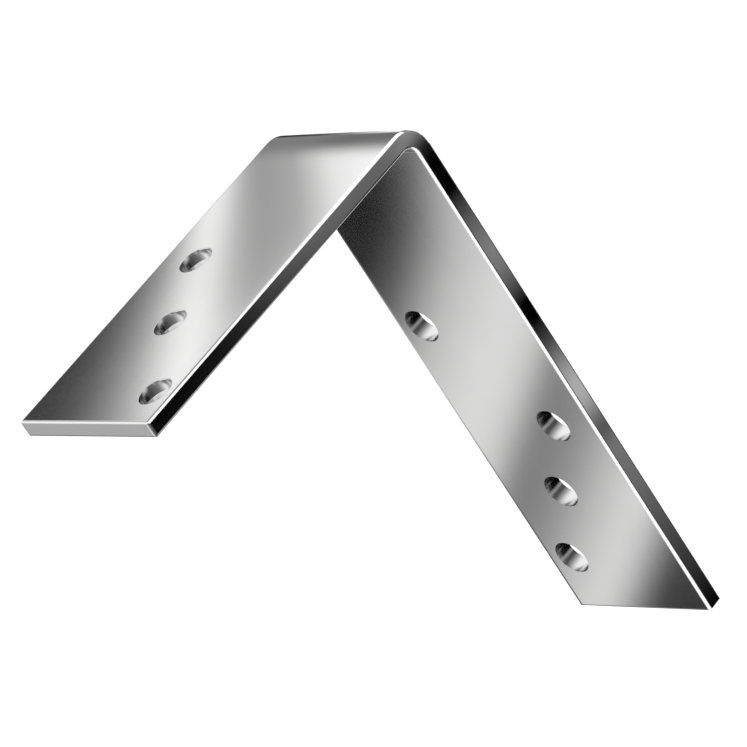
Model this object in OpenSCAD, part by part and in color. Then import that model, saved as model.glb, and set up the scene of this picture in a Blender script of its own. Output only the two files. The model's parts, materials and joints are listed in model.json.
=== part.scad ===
// Angle bracket: one flat steel strip bent square, with all its edges rounded.
// Three staggered screw holes pierce the short leg and four the long leg.
// The long leg lies flat with its end towards -X, and the short leg stands up
// at +X. The origin is the middle of the long leg's underside, and the front
// edge of the strip faces -Y.

/* [Strip] */
// Width of the strip
strip_w = 30; // [26:0.5:60]
// Thickness of the strip
strip_t = 3; // [2:0.25:5]
// Radius that rounds the outer edges of the strip
edge_r = 0.5; // [0.2:0.1:0.8]

/* [Bend] */
// Radius on the inside of the bend
bend_r = 2; // [1:0.5:6]
// Angle between the two legs
leg_angle = 90; // [75:1:120]

/* [Legs] */
// Length of the short leg, from the outer corner to its end
short_leg = 70; // [60:1:120]
// Length of the long leg, from the outer corner to its end
long_leg = 100; // [90:1:180]

/* [Screw holes] */
// Diameter of each hole's straight part
hole_d = 5.5; // [4:0.1:6.5]
// Radius that rounds each hole's mouth on the outer face, where the punch enters
mouth_r = 0.2; // [0.1:0.1:0.4]
// Depth of the flare where the punch breaks out, from the inner face
breakout_depth = 1.2; // [0.6:0.1:1.5]
// How far the flare widens each hole's radius by the inner face
breakout = 0.3; // [0.1:0.05:0.5]
// Width of the bevel round each hole's mouth on the inner face
mouth_bevel = 0.15; // [0.1:0.05:0.3]

/* [Holes in the short leg] */
// From the end of the leg to the centre of its outer hole
short_end_margin = 7; // [6:0.5:12]
// From the outer hole to the middle hole, along the leg
short_outer_pitch = 15.5; // [8:0.5:18]
// From the middle hole to the inner hole, along the leg
short_inner_pitch = 14.5; // [8:0.5:18]
// From the front edge of the strip to the centre of the outer hole
short_front_margin = 4.5; // [4.5:0.5:14]
// From the back edge of the strip to the centre of the inner hole
short_back_margin = 8; // [5:0.5:14]

/* [Holes in the long leg] */
// From the end of the leg to the centre of the first hole
long_end_margin = 11; // [6:0.5:15]
// From the first hole to the second, along the leg
long_first_pitch = 14.5; // [8:0.5:18]
// From the second hole to the third, along the leg
long_second_pitch = 14; // [8:0.5:18]
// From the third hole to the fourth, along the leg
long_third_pitch = 21; // [8:0.5:24]
// From the front edge of the strip to the centre of the third hole
long_front_margin = 9; // [5:0.5:14]
// From the back edge of the strip to the centres of the first and fourth holes
long_back_margin = 5.5; // [5:0.5:14]
// From the middle of the strip back to the centre of the second hole
long_mid_offset = 2; // [0:0.5:6]

/* [Hidden] */
$fn = 64;

// The strip turns through the bend round an axis that lies inside the corner
turn = 180 - leg_angle;
outer_r = bend_r + strip_t;
corner_setback = outer_r * tan(turn / 2);
hole_r = hole_d / 2;
inner_r = hole_r + breakout;
front = -strip_w / 2;
back = strip_w / 2;
// How far a cutter runs past the faces that it cuts
spare = 1;

// Each hole is [distance from the outer corner, place across the strip]
short_outer = short_leg - short_end_margin;
short_middle = short_outer - short_outer_pitch;
short_inner = short_middle - short_inner_pitch;
short_holes = [
    [short_outer, front + short_front_margin],
    [short_middle, 0],
    [short_inner, back - short_back_margin]
];
long_first = long_leg - long_end_margin;
long_second = long_first - long_first_pitch;
long_third = long_second - long_second_pitch;
long_fourth = long_third - long_third_pitch;
long_holes = [
    [long_first, back - long_back_margin],
    [long_second, long_mid_offset],
    [long_third, front + long_front_margin],
    [long_fourth, back - long_back_margin]
];

// Rectangle with rounded corners, from [0, 0] to size
module rounded_rect(size) {
    translate([edge_r, 0]) square([size.x - 2 * edge_r, size.y]);
    translate([0, edge_r]) square([size.x, size.y - 2 * edge_r]);
    for (x = [edge_r, size.x - edge_r], y = [edge_r, size.y - edge_r])
        translate([x, y]) circle(edge_r);
}

// Straight leg along +X from the end of the bend, its outer face at z = 0:
// the rolled section, cut off with rounded edges and then rounded corners
module leg(run) {
    intersection() {
        rotate([90, 0, 90]) linear_extrude(run)
            translate([front, 0]) rounded_rect([strip_w, strip_t]);
        translate([-run, back, 0]) rotate([90, 0, 0])
            linear_extrude(strip_w) rounded_rect([2 * run, strip_t]);
        translate([-run, front, 0]) linear_extrude(strip_t)
            rounded_rect([2 * run, strip_w]);
    }
}

// Bend: the same section swept round the bend axis, from the long leg's end
module bend() {
    rotate([0, 90, 0]) rotate([90, 0, 0]) rotate_extrude(angle = turn)
        translate([bend_r, front]) rounded_rect([strip_t, strip_w]);
}

// Mouth on the outer face, at z = 0: it flares in a quarter round
module outer_mouth() {
    rotate_extrude() difference() {
        translate([0, -spare]) square([hole_r + mouth_r, mouth_r + spare]);
        translate([hole_r + mouth_r, mouth_r]) circle(mouth_r);
    }
}

// Mouth on the inner face, at z = strip_t: the hole flares where the punch breaks
// out of the strip, and then opens in a bevel
module inner_mouth() {
    rotate_extrude() polygon([
        [0, strip_t - breakout_depth],
        [hole_r, strip_t - breakout_depth],
        [inner_r, strip_t - mouth_bevel],
        [inner_r + mouth_bevel + spare, strip_t + spare],
        [0, strip_t + spare]
    ]);
}

// Screw hole through the strip
module hole() {
    translate([0, 0, -spare]) cylinder(h = strip_t + 2 * spare, r = hole_r);
    outer_mouth();
    inner_mouth();
}

module drilled_leg(leg_length, places) {
    difference() {
        leg(leg_length - corner_setback);
        for (place = places)
            translate([place.x - corner_setback, place.y, 0]) hole();
    }
}

module bracket() {
    color("silver") translate([long_leg / 2 - corner_setback, 0, 0]) {
        mirror([1, 0, 0]) drilled_leg(long_leg, long_holes);
        translate([0, 0, outer_r]) {
            bend();
            rotate([0, -turn, 0]) translate([0, 0, -outer_r])
                drilled_leg(short_leg, short_holes);
        }
    }
}

bracket();
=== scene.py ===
"""Angle bracket of bright plated steel, lying on its long leg in a plain pale studio."""

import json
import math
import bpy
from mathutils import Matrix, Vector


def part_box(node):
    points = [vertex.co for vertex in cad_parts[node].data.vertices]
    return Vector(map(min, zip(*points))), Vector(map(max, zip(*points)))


bl_info = {
    "name": "Plated angle bracket",
    "version": (1, 0, 0),
    "blender": (4, 5, 0),
    "location": "3D View > Sidebar > Bracket",
    "description": "Finishes a bent steel bracket and lights it with soft graded sheets",
    "category": "Object",
}

import bpy
from bpy.props import FloatProperty, FloatVectorProperty, PointerProperty
from mathutils import Matrix, Vector

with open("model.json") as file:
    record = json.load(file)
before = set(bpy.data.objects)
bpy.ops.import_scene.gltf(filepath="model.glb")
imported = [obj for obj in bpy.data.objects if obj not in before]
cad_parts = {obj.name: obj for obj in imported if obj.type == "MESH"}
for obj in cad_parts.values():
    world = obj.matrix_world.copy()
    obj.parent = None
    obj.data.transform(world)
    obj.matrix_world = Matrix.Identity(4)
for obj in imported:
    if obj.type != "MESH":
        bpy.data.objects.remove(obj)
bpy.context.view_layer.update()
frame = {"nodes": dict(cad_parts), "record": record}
MM = 0.001

# Places on the bracket, in mm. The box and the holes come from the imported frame.
BRACKET = "bracket"
LOW, HIGH = (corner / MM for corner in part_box(BRACKET))
OUTER_X = HIGH.x
END_X = LOW.x
FRONT_Y = LOW.y
BACK_Y = HIGH.y
TOP_Z = HIGH.z
THICKNESS = 3.0
# Radius of the outside of the bend
BEND_RADIUS = 5.0
BORES = [mount for mount in frame["record"]["mounts"] if mount["kind"] == "bore"]
BORE_RADIUS = BORES[0]["dims"]["r_mm"]
# Depth of a hole's straight part, from the outer face
BORE_DEPTH = 1.8


# Shader maths


class Wire:
    """A node's output in an expression: sums and products of wires add Math nodes."""

    def __init__(self, tree, socket):
        self.tree = tree
        self.socket = socket

    def __add__(self, other):
        return self.tree.math("ADD", self, other)

    def __radd__(self, other):
        return self.tree.math("ADD", other, self)

    def __sub__(self, other):
        return self.tree.math("SUBTRACT", self, other)

    def __rsub__(self, other):
        return self.tree.math("SUBTRACT", other, self)

    def __mul__(self, other):
        return self.tree.math("MULTIPLY", self, other)

    def __rmul__(self, other):
        return self.tree.math("MULTIPLY", other, self)

    def __truediv__(self, other):
        return self.tree.math("DIVIDE", self, other)

    def __rtruediv__(self, other):
        return self.tree.math("DIVIDE", other, self)

    def __neg__(self):
        return self.tree.math("MULTIPLY", self, -1.0)

    def __abs__(self):
        return self.tree.math("ABSOLUTE", self)


class Tree:
    """One node tree, filled by calls that return wires."""

    def __init__(self, owner):
        owner.use_nodes = True
        self.nodes = owner.node_tree.nodes
        self.links = owner.node_tree.links
        self.nodes.clear()

    def plug(self, socket, value):
        if isinstance(value, Wire):
            self.links.new(value.socket, socket)
        else:
            socket.default_value = value

    def add(self, kind, settings=None, inputs=None, output=0):
        """A node of any kind. Its settings are set first, then its inputs are set or linked."""
        node = self.nodes.new("ShaderNode" + kind)
        for name, value in (settings or {}).items():
            setattr(node, name, value)
        for name, value in (inputs or {}).items():
            self.plug(node.inputs[name], value)
        return Wire(self, node.outputs[output])

    def math(self, operation, *values):
        return self.add("Math", {"operation": operation}, dict(enumerate(values)))

    def parts(self, vector):
        """The three parts of a vector, as wires."""
        split = self.add("SeparateXYZ", None, {"Vector": vector}).socket.node
        return [Wire(self, output) for output in split.outputs]

    def vector(self, x, y, z):
        return self.add("CombineXYZ", None, {"X": x, "Y": y, "Z": z})

    def smooth(self, value, low, high):
        """0 up to low, 1 from high on, and eased between them."""
        limits = {"Value": value, "From Min": low, "From Max": high}
        return self.add("MapRange", {"interpolation_type": "SMOOTHSTEP"}, limits)

    def blend(self, share, first, second):
        """The first value where share is 0 and the second where it is 1."""
        return first + share * (second - first)

    def colour_blend(self, share, first, second):
        """As blend, for two colours."""
        return self.add("Mix", {"data_type": "RGBA"}, {0: share, 6: first, 7: second}, output=2)

    def vector_blend(self, share, first, second):
        """As blend, for two vectors."""
        return self.add("Mix", {"data_type": "VECTOR"}, {0: share, 4: first, 5: second}, output=1)

    def unit(self, vector):
        return self.add("VectorMath", {"operation": "NORMALIZE"}, {0: vector})

    def noise(self, vector, scale=1.0, detail=2.0):
        """Smooth noise about zero, from roughly -1 to 1."""
        inputs = {"Vector": vector, "Scale": scale, "Detail": detail}
        return (self.add("TexNoise", None, inputs) - 0.5) * 2.0

    def curve(self, value, points):
        """Light that runs smoothly through (value, screen tone) points."""
        first, last = points[0][0], points[-1][0]
        share = (value - first) / (last - first)
        wire = self.add("ValToRGB", None, {"Fac": share})
        ramp = wire.socket.node.color_ramp
        ramp.interpolation = "CARDINAL"
        while len(ramp.elements) > 1:
            ramp.elements.remove(ramp.elements[-1])
        for index, (place, tone) in enumerate(points):
            position = (place - first) / (last - first)
            element = ramp.elements.new(position) if index else ramp.elements[0]
            element.position = position
            element.color = (light(tone), light(tone), light(tone), 1.0)
        return wire

    def place(self):
        """The place on the object, in mm, as three wires."""
        return [part / MM for part in self.parts(self.add("TexCoord", output="Object"))]

    def glow(self, colour, strength):
        return self.add("Emission", None, {"Color": colour, "Strength": strength})

    def finish(self, kind, shader):
        end = self.nodes.new("ShaderNodeOutput" + kind)
        self.plug(end.inputs["Surface"], shader)


def light(tone):
    """Linear light for a screen tone from 0 to 255."""
    share = tone / 255.0
    return share / 12.92 if share <= 0.04045 else ((share + 0.055) / 1.055) ** 2.4


def new_material(name):
    material = bpy.data.materials.new(name)
    return material, Tree(material)


# Settings


class SteelSettings(bpy.types.PropertyGroup):
    plate: FloatVectorProperty(
        name="Plate",
        description="Colour of the bright plate on the broad faces",
        subtype="COLOR",
        default=(0.865, 0.865, 0.86),
        min=0.0,
        max=1.0,
    )
    cut_plate: FloatVectorProperty(
        name="Plate on cut faces",
        description="Colour of the plate on the sheared edges and in the holes",
        subtype="COLOR",
        default=(0.80, 0.805, 0.80),
        min=0.0,
        max=1.0,
    )
    roughness: FloatProperty(
        name="Roughness",
        description="Roughness of the broad faces",
        default=0.13,
        min=0.0,
        max=1.0,
    )
    cut_roughness: FloatProperty(
        name="Added roughness of cuts",
        description="What the sheared edges and punched holes add to the roughness",
        default=0.02,
        min=0.0,
        max=0.5,
    )
    relief: FloatProperty(
        name="Relief",
        description="Scales the rolled grain, shear marks and ripple",
        default=1.0,
        min=0.0,
        max=10.0,
    )


class StudioSettings(bpy.types.PropertyGroup):
    floor_glow: FloatProperty(
        name="Floor glow",
        description="Light that the pale floor gives off",
        default=1.0,
        min=0.0,
        max=2.0,
    )
    sheet_power: FloatProperty(
        name="Sheet power",
        description="Makes up for the light that the plate takes out of a reflection",
        default=1.15,
        min=0.0,
        max=4.0,
    )
    sheet_height: FloatProperty(
        name="Back sheet height",
        description="Height of the graded sheet that the long leg mirrors",
        unit="LENGTH",
        default=0.060,
    )
    edge_card_height: FloatProperty(
        name="Edge card height",
        description="Height of the upper side of the card that the long leg's edge mirrors",
        unit="LENGTH",
        default=0.0045,
    )
    azimuth: FloatProperty(
        name="Azimuth",
        description="Direction of the camera round the bracket",
        unit="ROTATION",
        default=math.radians(30.596),
    )
    elevation: FloatProperty(
        name="Elevation",
        description="Height of the camera above the floor, as an angle",
        unit="ROTATION",
        default=math.radians(30.044),
    )
    roll: FloatProperty(
        name="Roll",
        description="Turn of the camera about its line of sight",
        unit="ROTATION",
        default=math.radians(-139.848),
    )
    distance: FloatProperty(
        name="Distance",
        description="From the camera to the point it aims at",
        unit="LENGTH",
        default=0.88256,
    )
    lens: FloatProperty(
        name="Lens",
        description="Focal length in mm, on a sensor 36 mm wide",
        default=275.54,
        min=20.0,
        max=600.0,
    )
    aim: FloatVectorProperty(
        name="Aim",
        description="Point at the middle of the picture",
        subtype="TRANSLATION",
        default=(0.01681, 0.00081, 0.02141),
    )


# Steel


# Farther than any place on the bracket is from a hole, in mm
FAR_AWAY = 100.0
# How far past its straight wall a hole's mouths reach, and the width over which they end, in mm
MOUTH_REACH = 0.5
MOUTH_FADE = 0.1
# How squarely a surface faces its axis: from a hole's wall to a broad face, and on a cut edge
BROAD_FACING = (0.80, 0.97)
EDGE_FACING = (0.6, 0.9)
# Distances in mm from an end of the strip, between which its cut face begins
END_START = 0.6
END_FULL = 0.3
# Depths in mm below the outer face, between which each part of a cut begins or ends
TORN_START = (1.2, 1.6)
FLARE_START = (BORE_DEPTH - 0.05, BORE_DEPTH + 0.15)
OUTER_MOUTH_END = (0.15, 0.25)
INNER_MOUTH_START = (THICKNESS - 0.18, THICKNESS - 0.12)
# Inside of the bend, which lies farther from the outer faces than the strip is thick
INNER_BEND_START = (THICKNESS + 0.02, THICKNESS + 0.3)
# How far a hole's wall faces up and back where its mouths begin to keep their own form
ROLLED_SIDE = (0.1, 0.6)

# Noises in the finish: cycles per mm, and detail
RIPPLE = (0.45, 1.0)
PEEL = (1.6, 2.0)
TORN = (3.5, 2.0)
CLOUDING = (0.12, 3.0)
SPECKLE = (5.0, 2.0)
# Noises drawn out into lines: cycles per mm along the lines and across them
FINE_GRAIN = (0.06, 3.2)
LONG_GRAIN = (0.015, 0.7)
SHEAR_LINES = (0.25, 2.6)
DRAWN_LINES = (0.3, 3.0)
FINE_DETAIL = 3.0
# Sets the long grain apart from the fine one
LONG_LAYER = 4.0

# Depth of each kind of relief, in thousandths of a mm
FINE_DEPTH = 0.10
LONG_DEPTH = 0.45
RIPPLE_DEPTH = 0.5
PEEL_DEPTH = 1.2
SHEAR_DEPTH = 0.9
DRAWN_DEPTH = 0.3
TORN_DEPTH = 0.15
MICROMETRE = 1e-6

# Clouds in the plate: colour, strength, share of speckle, and span of the noise
DULL_PLATE = (0.5, 0.52, 0.53, 1.0)
DULL_SHARE = 0.06
SPECKLE_SHARE = 0.25
CLOUD_SPAN = (-0.8, 0.8)

# What each kind of surface or noise adds to the roughness
CLOUD_ROUGHNESS = 0.010
GRAIN_ROUGHNESS = 0.008
SPECKLE_ROUGHNESS = 0.006
STRETCH_ROUGHNESS = 0.02
TORN_ROUGHNESS = 0.02
HOLE_ROUGHNESS = 0.015
INNER_BEND_ROUGHNESS = 0.25


def nearest_bore(tree, x, y, z):
    """Distance in mm from the axis of the nearest screw hole, and the offset from that axis."""
    nearest = FAR_AWAY
    offset = (0.0, 0.0, 1.0)
    for bore in BORES:
        cx, cy, cz = (part / MM for part in bore["pos_m"])
        in_long_leg = abs(bore["axis"][2]) > 0.5
        if in_long_leg:
            away = tree.vector(x - cx, y - cy, 0.0)
        else:
            away = tree.vector(0.0, y - cy, z - cz)
        distance = tree.add("VectorMath", {"operation": "LENGTH"}, {0: away}, output=1)
        closer = tree.math("LESS_THAN", distance, nearest)
        offset = tree.vector_blend(closer, offset, away)
        nearest = tree.math("MINIMUM", distance, nearest)
    return nearest, offset


def plated_steel(settings):
    """Bright plate over rolled faces, sheared edges and punched holes."""
    material, tree = new_material("plated_steel_finish")
    x, y, z = tree.place()
    normal = tree.add("NewGeometry", output="Normal")
    nx, ny, nz = tree.parts(normal)

    # Measures along each leg and through the strip's thickness, from its outer faces
    along = x - z
    through = tree.math("MINIMUM", z, OUTER_X - x)
    upright = tree.smooth(z, THICKNESS, BEND_RADIUS)
    facing = tree.blend(upright, abs(nz), abs(nx))

    # Where each kind of surface lies
    distance, offset = nearest_bore(tree, x, y, z)
    mouth_end = BORE_RADIUS + MOUTH_REACH
    around_bore = 1.0 - tree.smooth(distance, mouth_end, mouth_end + MOUTH_FADE)
    hole = around_bore * (1.0 - tree.smooth(facing, *BROAD_FACING))
    side = tree.smooth(abs(ny), *EDGE_FACING)
    left_end = tree.smooth(-x, -END_X - END_START, -END_X - END_FULL)
    left_end = tree.smooth(-nx, *EDGE_FACING) * left_end
    top_end = tree.smooth(z, TOP_Z - END_START, TOP_Z - END_FULL)
    top_end = tree.smooth(nz, *EDGE_FACING) * top_end
    end = tree.math("MAXIMUM", left_end, top_end)
    edge_cut = tree.math("MAXIMUM", side, end) * (1.0 - around_bore)
    cut = tree.math("MAXIMUM", edge_cut, hole)
    broad = 1.0 - cut
    flare = tree.smooth(through, *FLARE_START)
    stretched = tree.smooth(x, OUTER_X - BEND_RADIUS, OUTER_X - BEND_RADIUS / 2)
    stretched = stretched * (1.0 - upright)
    inner_bend = broad * tree.smooth(through, *INNER_BEND_START)

    # Grain and marks
    spot = tree.vector(x, y, z)
    fine_place = tree.vector(along * FINE_GRAIN[0], y * FINE_GRAIN[1], 0.0)
    fine_grain = tree.noise(fine_place, detail=FINE_DETAIL)
    long_place = tree.vector(along * LONG_GRAIN[0], y * LONG_GRAIN[1], LONG_LAYER)
    long_grain = tree.noise(long_place)
    ripple = tree.noise(spot, *RIPPLE)
    peel = tree.noise(spot, *PEEL)
    torn = tree.noise(spot, *TORN)
    down, across = SHEAR_LINES
    shear_place = tree.vector(along * across, through * down, y * across)
    shear = tree.noise(shear_place, detail=FINE_DETAIL)
    down, across = DRAWN_LINES
    drawn_x = x * tree.blend(upright, across, down)
    drawn_z = z * tree.blend(upright, down, across)
    drawn = tree.noise(tree.vector(drawn_x, y * across, drawn_z))
    rolled = fine_grain * FINE_DEPTH + long_grain * LONG_DEPTH + ripple * RIPPLE_DEPTH
    relief = (
        broad * (rolled + stretched * peel * PEEL_DEPTH)
        + edge_cut * shear * SHEAR_DEPTH
        + hole * tree.blend(flare, drawn * DRAWN_DEPTH, torn * TORN_DEPTH)
    )

    # Colour and roughness
    clouding = tree.noise(spot, *CLOUDING)
    speckle = tree.noise(spot, *SPECKLE)
    fracture = tree.smooth(through, *TORN_START)
    tint = tree.colour_blend(cut, (*settings.plate, 1.0), (*settings.cut_plate, 1.0))
    dull = tree.colour_blend(DULL_SHARE, tint, DULL_PLATE)
    shade = tree.smooth(clouding + speckle * SPECKLE_SHARE, *CLOUD_SPAN)
    colour = tree.colour_blend(shade, tint, dull)
    roughness = (
        settings.roughness
        + clouding * CLOUD_ROUGHNESS
        + fine_grain * GRAIN_ROUGHNESS
        + speckle * SPECKLE_ROUGHNESS
        + stretched * broad * STRETCH_ROUGHNESS
        + cut * settings.cut_roughness
        + cut * fracture * TORN_ROUGHNESS
        + hole * HOLE_ROUGHNESS
        + inner_bend * INNER_BEND_ROUGHNESS
    )

    # The walls of the holes read as smooth. The mouths keep their own form on the side that
    # faces up and back, and the flares keep theirs in the short leg.
    wall = tree.unit(tree.add("VectorMath", {"operation": "SCALE"}, {0: offset, "Scale": -1.0}))
    wall_y, wall_z = tree.parts(wall)[1:]
    outer_lip = 1.0 - tree.smooth(through, *OUTER_MOUTH_END)
    inner_lip = tree.smooth(through, *INNER_MOUTH_START)
    lip = tree.math("MAXIMUM", outer_lip, inner_lip)
    lip = lip * tree.smooth(wall_y + wall_z, *ROLLED_SIDE)
    rolled_over = hole * (1.0 - tree.math("MAXIMUM", lip, upright * flare))
    facing_out = tree.unit(tree.vector_blend(rolled_over, normal, wall))
    bump = tree.add(
        "Bump",
        None,
        {
            "Strength": 1.0,
            "Distance": settings.relief * MICROMETRE,
            "Height": relief,
            "Normal": facing_out,
        },
    )
    steel = tree.add(
        "BsdfPrincipled",
        None,
        {"Base Color": colour, "Metallic": 1.0, "Roughness": roughness, "Normal": bump},
    )
    tree.finish("Material", steel)
    return material


# Stage


# Screen tones of the light that each face of the bracket mirrors, by places on that face in mm

# Short leg's outer face, across the strip at half the leg's height
SHORT_LEG_BANDS = [
    (-60, 250), (-38, 242), (-29, 222), (-21, 178), (-15, 163), (-8, 160), (-3, 190), (3, 240),
    (8, 218), (12, 154), (15, 128), (18, 92), (21, 58), (26, 34), (60, 28),
]
# Long leg's inner face, along the middle of the strip
LONG_LEG_BANDS = [
    (-75, 38), (-57, 42), (-51, 72), (-46.5, 160), (-42, 212), (-36, 208), (-26, 162), (-16, 122),
    (-11, 138), (-6, 202), (0, 220), (8, 212), (18, 180), (26, 108), (34, 42), (42, 10), (60, 3),
]
# Long leg's front edge, along the leg
FRONT_GLINTS = [
    (-60, 12), (-46, 28), (-30, 88), (-16, 116), (-11, 98), (-4, 178), (4, 104), (10, 6),
    (14, 14), (22, 122), (28, 112), (36, 24), (40, 8), (43.5, 10), (46, 60), (48, 125), (51, 150),
]
# Short leg's front edge, up the leg
FRONT_FIELD = [
    (0, 140), (5, 128), (9, 106), (29, 102), (44, 54), (52, 26), (62, 12), (80, 4), (110, 70),
]
# Outside of the bend, across the strip
UNDER_BEND = [(-15, 252), (-8, 240), (0, 156), (3, 126), (8, 66), (18, 22)]
# Line along the back edge of the long leg's inner face, along the leg
BACK_LINE = [
    (-52, 50), (-36, 70), (-26, 115), (-12, 165), (0, 185), (14, 165), (25, 100), (45, 40),
]

# Screen tones of the floor behind the bracket, by the distance back from its middle in mm
REAR_FLOOR = [(15, 190), (24, 150), (60, 130), (160, 170), (300, 215)]
# Screen tones of the room, by the part of a direction that points back
ROOM = [
    (-1.0, 48), (-0.85, 84), (-0.5, 116), (-0.25, 148), (0.05, 205), (0.35, 245), (0.55, 205),
    (0.75, 180), (1.0, 165),
]
# Screen tones well below the horizon, by the angle in degrees from the right towards the back
LOW_ROOM = [
    (-180, 6), (-112, 6), (-94, 150), (-78, 80), (-50, 112), (-20, 200), (10, 255), (100, 255),
    (125, 60), (145, 6), (180, 6),
]

WHITE = (1.0, 1.0, 1.0, 1.0)


def camera_back(settings):
    """Direction from the point at the middle of the picture back to the camera."""
    level = math.cos(settings.elevation)
    return Vector((
        math.sin(settings.azimuth) * level,
        -math.cos(settings.azimuth) * level,
        math.sin(settings.elevation),
    ))


def eye_place(settings):
    """Place of the camera, in mm."""
    return (Vector(settings.aim) + camera_back(settings) * settings.distance) / MM


def sheet(name, corners, material):
    mesh = bpy.data.meshes.new(name)
    mesh.from_pydata([Vector(corner) * MM for corner in corners], [], [range(len(corners))])
    mesh.materials.append(material)
    card = bpy.data.objects.new(name, mesh)
    bpy.context.scene.collection.objects.link(card)
    return card


def rectangle(x0, x1, y0, y1, z):
    return [(x0, y0, z), (x1, y0, z), (x1, y1, z), (x0, y1, z)]


def mirrored_only(card):
    """The card is seen in reflections only."""
    card.visible_camera = False
    card.visible_diffuse = False
    card.visible_shadow = False
    card.visible_transmission = False


# Floor that the camera sees
FLOOR_PAINT = (0.22, 0.22, 0.22, 1.0)
FLOOR_REACH = 4000.0
FLOOR_Z = -0.05


def pale_floor(settings):
    """Pale floor that the camera sees, and reflections don't."""
    material, tree = new_material("pale_floor")
    paint = tree.add("BsdfDiffuse", None, {"Color": FLOOR_PAINT})
    glow = tree.glow(WHITE, settings.floor_glow)
    tree.finish("Material", tree.add("AddShader", None, {0: paint, 1: glow}))
    reach = FLOOR_REACH
    floor = sheet("floor", rectangle(-reach, reach, -reach, reach, FLOOR_Z), material)
    floor.visible_glossy = False


# How far the bands on the short leg's outer face fan out: they would meet at this place on it
FAN_Y = 73.5
FAN_Z = -62.5
# Height at which they keep their places
FAN_MIDDLE_Z = 35.0
# Heights on that face between which the bands get lighter, in two steps, and by what share
UPPER_STEP = (38.0, 48.0)
UPPER_GAIN = 0.12
END_STEP = (52.0, 66.0)
END_GAIN = 0.16
# Places across the face's plane between which the light past its back edge begins
PAST_BACK = (30.0, 45.0)
PAST_BACK_TONE = 235
# The same past its front edge, counted forwards
PAST_FRONT = (-FRONT_Y + 1.5, -FRONT_Y + 5.0)
PAST_FRONT_LIGHT = 1.2
# Line next to the bend: places across between which its tone turns, and heights between which
# it ends
LINE_TURN = (-4.0, 10.0)
LINE_TONES = (108, 124)
LINE_END = (5.5, 10.0)
# Zones of the floor, by the distance to the right of the bracket and by the place across it
FAR_RIGHT = (55.0, 100.0)
FAR_START = (-60.0, -25.0)
FAR_END = (60.0, 90.0)
FAR_TONE = 140
DULL_RIGHT = (10.0, 55.0)
DULL_START = (-18.0, -8.0)
DULL_TONE = 205
# Distances left of the bracket's right side, between which the bend's own light begins
BEND_START = (-0.5, 1.0)


def right_tone(tree, eye, x, y):
    """Light on the floor to the right, which the short leg's outer face and the bend mirror."""
    right = x - OUTER_X
    share = (eye.x - OUTER_X) / (eye.x - OUTER_X + tree.math("MAXIMUM", right, 0.0))
    leg_z = eye.z * (1.0 - share)
    leg_y = eye.y + (y - eye.y) * share

    # The bands fan out over the face, get lighter up the leg and end past its back edge
    middle = FAN_Y + (leg_y - FAN_Y) * (FAN_MIDDLE_Z - FAN_Z) / (leg_z - FAN_Z)
    tone = tree.curve(middle, SHORT_LEG_BANDS)
    lighter = tree.smooth(leg_z, *UPPER_STEP) * UPPER_GAIN
    lighter = lighter + tree.smooth(leg_z, *END_STEP) * END_GAIN
    tone = tone * (1.0 + lighter)
    tone = tree.blend(tree.smooth(leg_y, *PAST_BACK), tone, light(PAST_BACK_TONE))

    # There is a darker line next to the bend
    beside = tree.smooth(-leg_y, *PAST_FRONT)
    line = 1.0 - tree.smooth(leg_z, *LINE_END)
    line_tone = tree.blend(tree.smooth(leg_y, *LINE_TURN), *map(light, LINE_TONES))
    tone = tree.blend(line * (1.0 - beside), tone, line_tone)

    # Past the face's front edge it is white, duller straight to the right, and grey far out
    far = tree.smooth(right, *FAR_RIGHT) * tree.smooth(y, *FAR_START)
    far = far * (1.0 - tree.smooth(y, *FAR_END))
    dull = tree.smooth(right, *DULL_RIGHT) * tree.smooth(y, *DULL_START)
    white = tree.blend(dull, PAST_FRONT_LIGHT, light(DULL_TONE))
    tone = tree.blend(beside, tone, tree.blend(far, white, light(FAR_TONE)))
    return tree.blend(tree.smooth(-right, *BEND_START), tone, tree.curve(y, UNDER_BEND))


# Dark zone of the floor in front, by a slant across it and by the place towards the bracket
DARK_SLANT = (52.0, 64.0)
DARK_NEAR = (-42.0, -30.0)
DARK_TONE = 4
GREY_TONE = 165
# Places in the plane of the front edges: the short leg's left side, and the long leg's top
SHORT_LEG_START = (43.5, 46.8)
LONG_LEG_END = (3.2, 4.6)


def front_tone(tree, eye, x, y):
    """Light on the floor in front, which the front edges of both legs and the holes mirror."""
    ahead = tree.math("MAXIMUM", FRONT_Y - y, 0.0)
    share = (FRONT_Y - eye.y) / (FRONT_Y - eye.y + ahead)
    leg_z = eye.z * (1.0 - share)
    leg_x = eye.x + (x - eye.x) * share
    field = tree.curve(leg_z, FRONT_FIELD)

    # Left of the short leg's own field it is dark, for its holes, and grey farther left
    dark = tree.math("MAXIMUM", tree.smooth(x - y, *DARK_SLANT), tree.smooth(y, *DARK_NEAR))
    beside = tree.blend(dark, light(GREY_TONE), light(DARK_TONE))
    field = tree.blend(tree.smooth(leg_x, *SHORT_LEG_START), beside, field)
    return tree.blend(tree.smooth(leg_z, *LONG_LEG_END), tree.curve(leg_x, FRONT_GLINTS), field)


# Floor that reflections see
GRADED_REACH = 400.0
GRADED_Z = -0.1
# Widths over which its zones blend
SEAM = 0.5
FRONT_SEAM = 0.3
# Distances left of the bracket's right side, between which the zone behind begins
BEHIND_START = (4.0, 6.0)


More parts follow.
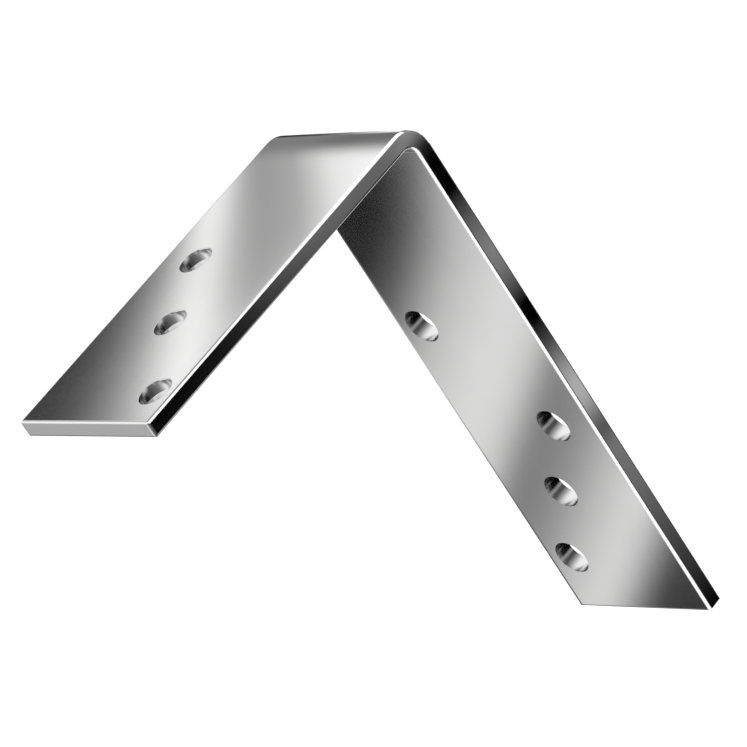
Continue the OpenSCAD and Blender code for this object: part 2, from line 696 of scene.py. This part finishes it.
def graded_floor(settings, eye):
    """Graded light that lies on the floor in reflections, and leaves it open under the bracket."""
    material, tree = new_material("graded_floor")
    x, y = tree.place()[:2]
    left = tree.smooth(OUTER_X - x, -SEAM, SEAM)
    ahead = tree.smooth(-y, -FRONT_Y, -FRONT_Y + FRONT_SEAM)
    behind = tree.smooth(y, BACK_Y, BACK_Y + SEAM) * tree.smooth(OUTER_X - x, *BEHIND_START)
    tone = tree.blend(left * ahead, right_tone(tree, eye, x, y), front_tone(tree, eye, x, y))
    tone = tree.blend(behind, tone, tree.curve(y, REAR_FLOOR))
    glow = tree.glow(tone, settings.sheet_power)

    under = tree.smooth(OUTER_X - x, BEND_RADIUS, BEND_RADIUS + SEAM)
    under = under * (1.0 - tree.smooth(-x, -END_X, -END_X + SEAM))
    under = under * (1.0 - tree.smooth(abs(y), BACK_Y, BACK_Y + SEAM))
    opening = tree.add("BsdfTransparent")
    tree.finish("Material", tree.add("MixShader", None, {0: under, 1: glow, 2: opening}))
    reach = GRADED_REACH
    corners = rectangle(-reach, reach, -reach, reach, GRADED_Z)
    mirrored_only(sheet("graded_floor", corners, material))


# How much the bands on the long leg's inner face lean, along the leg and next to the bend
LEAN = 0.95
CORNER_LEAN = 1.3
# Places along the leg between which that changes
CORNER_START = (22.0, 42.0)
# Part of that face's plane which the sheet's reflection covers, seen from the camera's place
MIRRORED_X = (END_X - 15.0, OUTER_X - 2.0)
MIRRORED_Y = (FRONT_Y - 12.0, BACK_Y + 12.0)


def back_sheet(settings, eye):
    """Graded sheet up behind the long leg, which its inner face mirrors."""
    material, tree = new_material("back_sheet")
    x, y = tree.place()[:2]
    height = settings.sheet_height / MM
    share = (eye.z - THICKNESS) / (eye.z - THICKNESS + height - THICKNESS)
    leg_x = eye.x + (x - eye.x) * share
    leg_y = eye.y + (y - eye.y) * share
    lean = tree.blend(tree.smooth(leg_x, *CORNER_START), LEAN, CORNER_LEAN)
    tone = tree.curve(leg_x + leg_y * lean, LONG_LEG_BANDS)
    tree.finish("Material", tree.glow(tone, settings.sheet_power))
    x0, x1 = (eye.x + (place - eye.x) / share for place in MIRRORED_X)
    y0, y1 = (eye.y + (place - eye.y) / share for place in MIRRORED_Y)
    mirrored_only(sheet("back_sheet", rectangle(x0, x1, y0, y1, height), material))


# Card at the front edge, from its high side to its low side
EDGE_CARD_X = (END_X - 3.0, OUTER_X - BEND_RADIUS)
EDGE_CARD_Y = (FRONT_Y + 0.4, FRONT_Y - 2.0)
EDGE_CARD_LOW = THICKNESS - 0.05
EDGE_CARD_LIGHT = 1.4
# Its dark top lies this far above the white underside
EDGE_CARD_GAP = 0.1
EDGE_CARD_TONE = 60


def edge_card(settings):
    """Card that slopes down over the long leg's front edge, white below and dark on top.

    The rounded edge between the long leg's front and inner face mirrors the white side.
    """
    near_y, far_y = EDGE_CARD_Y
    high = settings.edge_card_height / MM
    low = EDGE_CARD_LOW
    white = ("edge_card", EDGE_CARD_LIGHT, 0.0)
    dark = ("edge_card_back", light(EDGE_CARD_TONE), EDGE_CARD_GAP)
    for name, strength, lift in (white, dark):
        material, tree = new_material(name)
        tree.finish("Material", tree.glow(WHITE, strength))
        corners = [(x, near_y, high + lift) for x in EDGE_CARD_X]
        corners += [(x, far_y, low + lift) for x in reversed(EDGE_CARD_X)]
        mirrored_only(sheet(name, corners, material))


# Card at the back edge
BACK_CARD_X = (END_X - 1.0, OUTER_X - BEND_RADIUS)
BACK_CARD_Y = BACK_Y + 0.15
BACK_CARD_Z = (THICKNESS - 0.4, THICKNESS + 0.58)


def back_line_card(settings):
    """Narrow card close behind the long leg, which draws a line along its back edge."""
    material, tree = new_material("back_line_card")
    tone = tree.curve(tree.place()[0], BACK_LINE)
    tree.finish("Material", tree.glow(tone, settings.sheet_power))
    low, high = BACK_CARD_Z
    corners = [(x, BACK_CARD_Y, low) for x in BACK_CARD_X]
    corners += [(x, BACK_CARD_Y, high) for x in reversed(BACK_CARD_X)]
    mirrored_only(sheet("back_line_card", corners, material))


# Parts of a direction in the room, from -1 to 1, between which the light changes

# Lighter right of the front: by the part to the right, and back
LIGHTER_RIGHT = (-0.36, -0.12)
LIGHTER_BACK = (-0.5, -0.1)
LIGHTER_TONE = 150
# Dark side: by the part to the left, back and up, and back from its first tone to its second
DARK_LEFT = (0.48, 0.54)
DARK_BACK = (0.5, 0.62)
DARK_UP = (0.2, 0.35)
DARK_TURN = (-0.25, 0.0)
DARK_TONES = (6, 60)
# White panel: by the part to the left, where it starts and where it ends, and back
PANEL_START = (0.76, 0.785)
PANEL_END = (0.845, 0.865)
PANEL_BACK = (0.15, 0.25)
PANEL_LIGHT = 1.0
# End of the low part of the room, by the part upwards
LOW_END = (-0.42, -0.36)
ROOM_STRENGTH = 1.1
# Round patches: direction of the middle, angles in degrees between which one ends, and light
ROOM_PATCHES = [
    ((0.87, -0.36, 0.2), (22.0, 44.0), light(95)),
    ((-0.6, 0.78, -0.1), (16.0, 32.0), light(70)),
    ((0.5, 0.745, 0.44), (14.0, 26.0), 0.95),
]


def near(tree, direction, target, inner, outer):
    """1 within the inner angle of a target direction and 0 past the outer one."""
    inputs = {0: direction, 1: Vector(target).normalized()}
    cosine = tree.add("VectorMath", {"operation": "DOT_PRODUCT"}, inputs, output=1)
    return tree.smooth(cosine, math.cos(math.radians(outer)), math.cos(math.radians(inner)))


def studio_light():
    """Soft light from all round, graded from the front to the back of the room."""
    world = bpy.data.worlds.new("studio")
    bpy.context.scene.world = world
    tree = Tree(world)
    direction = tree.add("TexCoord", output="Generated")
    x, y, z = tree.parts(direction)
    room = tree.curve(y, ROOM)

    # The front is lighter from a little left of its middle on to the right
    lighter = tree.smooth(x, *LIGHTER_RIGHT) * (1.0 - tree.smooth(y, *LIGHTER_BACK))
    room = tree.blend(lighter, room, light(LIGHTER_TONE))

    # The left is dark up to a little above the horizon, and a tall white panel stands there for
    # the short leg's holes
    dark = tree.smooth(-x, *DARK_LEFT) * (1.0 - tree.smooth(y, *DARK_BACK))
    dark = dark * (1.0 - tree.smooth(z, *DARK_UP))
    dark_tone = tree.blend(tree.smooth(y, *DARK_TURN), *map(light, DARK_TONES))
    room = tree.blend(dark, room, dark_tone)
    panel = tree.smooth(-x, *PANEL_START) * (1.0 - tree.smooth(-x, *PANEL_END))
    room = tree.blend(panel * (1.0 - tree.smooth(y, *PANEL_BACK)), room, PANEL_LIGHT)
    for target, angles, level in ROOM_PATCHES:
        room = tree.blend(near(tree, direction, target, *angles), room, level)

    # Well below the horizon the light turns with the direction, for the walls of the long
    # leg's holes
    turn = tree.math("ARCTAN2", y, x) * (180.0 / math.pi)
    tone = tree.blend(tree.smooth(z, *LOW_END), tree.curve(turn, LOW_ROOM), room)
    tree.finish("World", tree.add("Background", None, {"Color": tone, "Strength": ROOM_STRENGTH}))


SENSOR_WIDTH = 36.0
# Range of the camera's sight, in metres
CLIP = (0.01, 20.0)


def place_camera(settings):
    camera = bpy.data.objects.new("camera", bpy.data.cameras.new("camera"))
    bpy.context.scene.collection.objects.link(camera)
    back = camera_back(settings)
    right = Vector((0.0, 0.0, 1.0)).cross(back).normalized()
    up = back.cross(right)
    turn = Matrix.Rotation(settings.roll, 3, back)
    axes = Matrix((turn @ right, turn @ up, back)).transposed().to_4x4()
    camera.matrix_world = Matrix.Translation(eye_place(settings) * MM) @ axes
    camera.data.sensor_width = SENSOR_WIDTH
    camera.data.lens = settings.lens
    camera.data.clip_start, camera.data.clip_end = CLIP
    bpy.context.scene.camera = camera


# Operators and panel


class BRACKET_OT_finish_steel(bpy.types.Operator):
    """Gives the bracket its bright plated finish"""

    bl_idname = "bracket.finish_steel"
    bl_label = "Finish the bracket"

    def execute(self, context):
        finish = plated_steel(context.scene.bracket_steel)
        for slot in frame["nodes"][BRACKET].material_slots:
            slot.material = finish
        return {"FINISHED"}


class BRACKET_OT_build_studio(bpy.types.Operator):
    """Builds the floor, the light and the camera"""

    bl_idname = "bracket.build_studio"
    bl_label = "Build the studio"

    def execute(self, context):
        settings = context.scene.bracket_studio
        eye = eye_place(settings)
        pale_floor(settings)
        graded_floor(settings, eye)
        back_sheet(settings, eye)
        edge_card(settings)
        back_line_card(settings)
        studio_light()
        place_camera(settings)
        context.scene.view_settings.view_transform = "Standard"
        return {"FINISHED"}


class BRACKET_PT_panel(bpy.types.Panel):
    """Lists the steps that finish the bracket"""

    bl_idname = "BRACKET_PT_panel"
    bl_label = "Bracket"
    bl_space_type = "VIEW_3D"
    bl_region_type = "UI"
    bl_category = "Bracket"

    def draw(self, context):
        self.layout.operator(BRACKET_OT_finish_steel.bl_idname)
        self.layout.operator(BRACKET_OT_build_studio.bl_idname)


CLASSES = (
    SteelSettings,
    StudioSettings,
    BRACKET_OT_finish_steel,
    BRACKET_OT_build_studio,
    BRACKET_PT_panel,
)


def register():
    for cls in CLASSES:
        bpy.utils.register_class(cls)
    bpy.types.Scene.bracket_steel = PointerProperty(type=SteelSettings)
    bpy.types.Scene.bracket_studio = PointerProperty(type=StudioSettings)


def unregister():
    del bpy.types.Scene.bracket_studio
    del bpy.types.Scene.bracket_steel
    for cls in reversed(CLASSES):
        bpy.utils.unregister_class(cls)


def main():
    register()
    bpy.ops.bracket.finish_steel()
    bpy.ops.bracket.build_studio()


if __name__ == "__main__":
    main()
